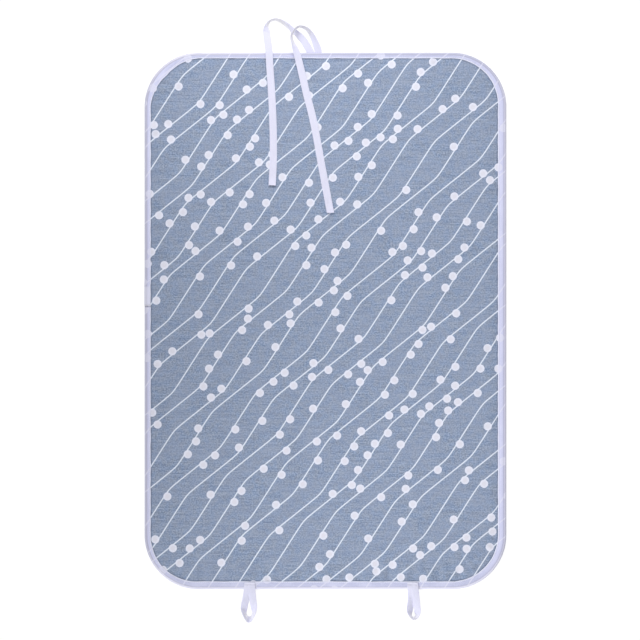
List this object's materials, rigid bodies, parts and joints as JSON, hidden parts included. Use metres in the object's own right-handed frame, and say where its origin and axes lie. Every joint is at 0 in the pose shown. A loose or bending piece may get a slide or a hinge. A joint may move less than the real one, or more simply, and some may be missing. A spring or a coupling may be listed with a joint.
{
  "type": "ironing pad",
  "caption": "Padded ironing mat with a printed cotton face, a bound edge with rounded corners, tie tapes for the rolled mat and folded hanging loops.",
  "frame": {"origin": "middle of the underside, on the surface that the pad lies on", "axes": "+Y along the pad's length towards the edge with the ties, +X across the pad, +Z out of the printed face"},
  "size_m": [0.6008, 1.0013, 0.0214],
  "materials": {
    "printed_cotton": "plain woven blue cotton with a white line and dot print",
    "felt": "needled white felt",
    "aluminised_cloth": "thin cloth with a silver coating",
    "backing_cloth": "plain woven grey cotton",
    "binding_tape": "thin white folded binding tape",
    "white_tape": "white herringbone cotton tape",
    "white_thread": "white sewing thread"
  },
  "bodies": {
    "pad": {"printed_cover": "printed_cotton", "felt_pad": "felt", "heat_barrier": "aluminised_cloth", "back_cover": "backing_cloth", "edge_binding": "binding_tape", "needle_thread": "white_thread", "bobbin_thread": "white_thread", "tie_left_root": "white_tape", "tie_right_root": "white_tape", "tie_tack": "white_thread", "loop_left_tack": "white_thread", "loop_right_tack": "white_thread"},
    "tie_left_tail": {"tie_left_tail": "white_tape"},
    "tie_right_tail": {"tie_right_tail": "white_tape"},
    "loop_left": {"loop_left": "white_tape"},
    "loop_right": {"loop_right": "white_tape"}
  },
  "joints": [
    {"name": "tie_left_swing", "type": "hinge", "parent": "pad", "child": "tie_left_tail", "pos_m": [-0.083, 0.4996, 0.0063], "axis": [-1, 0, 0], "range_deg": [0, 175]},
    {"name": "tie_right_swing", "type": "hinge", "parent": "pad", "child": "tie_right_tail", "pos_m": [-0.0393, 0.4866, 0.0143], "axis": [-1, 0, 0], "range_deg": [0, 175]},
    {"name": "loop_left_swing", "type": "hinge", "parent": "pad", "child": "loop_left", "pos_m": [-0.1256, -0.437, 0.0087], "axis": [-1, 0, 0], "range_deg": [0, 165]},
    {"name": "loop_right_swing", "type": "hinge", "parent": "pad", "child": "loop_right", "pos_m": [0.1445, -0.437, 0.0087], "axis": [-1, 0, 0], "range_deg": [0, 165]}
  ]
}
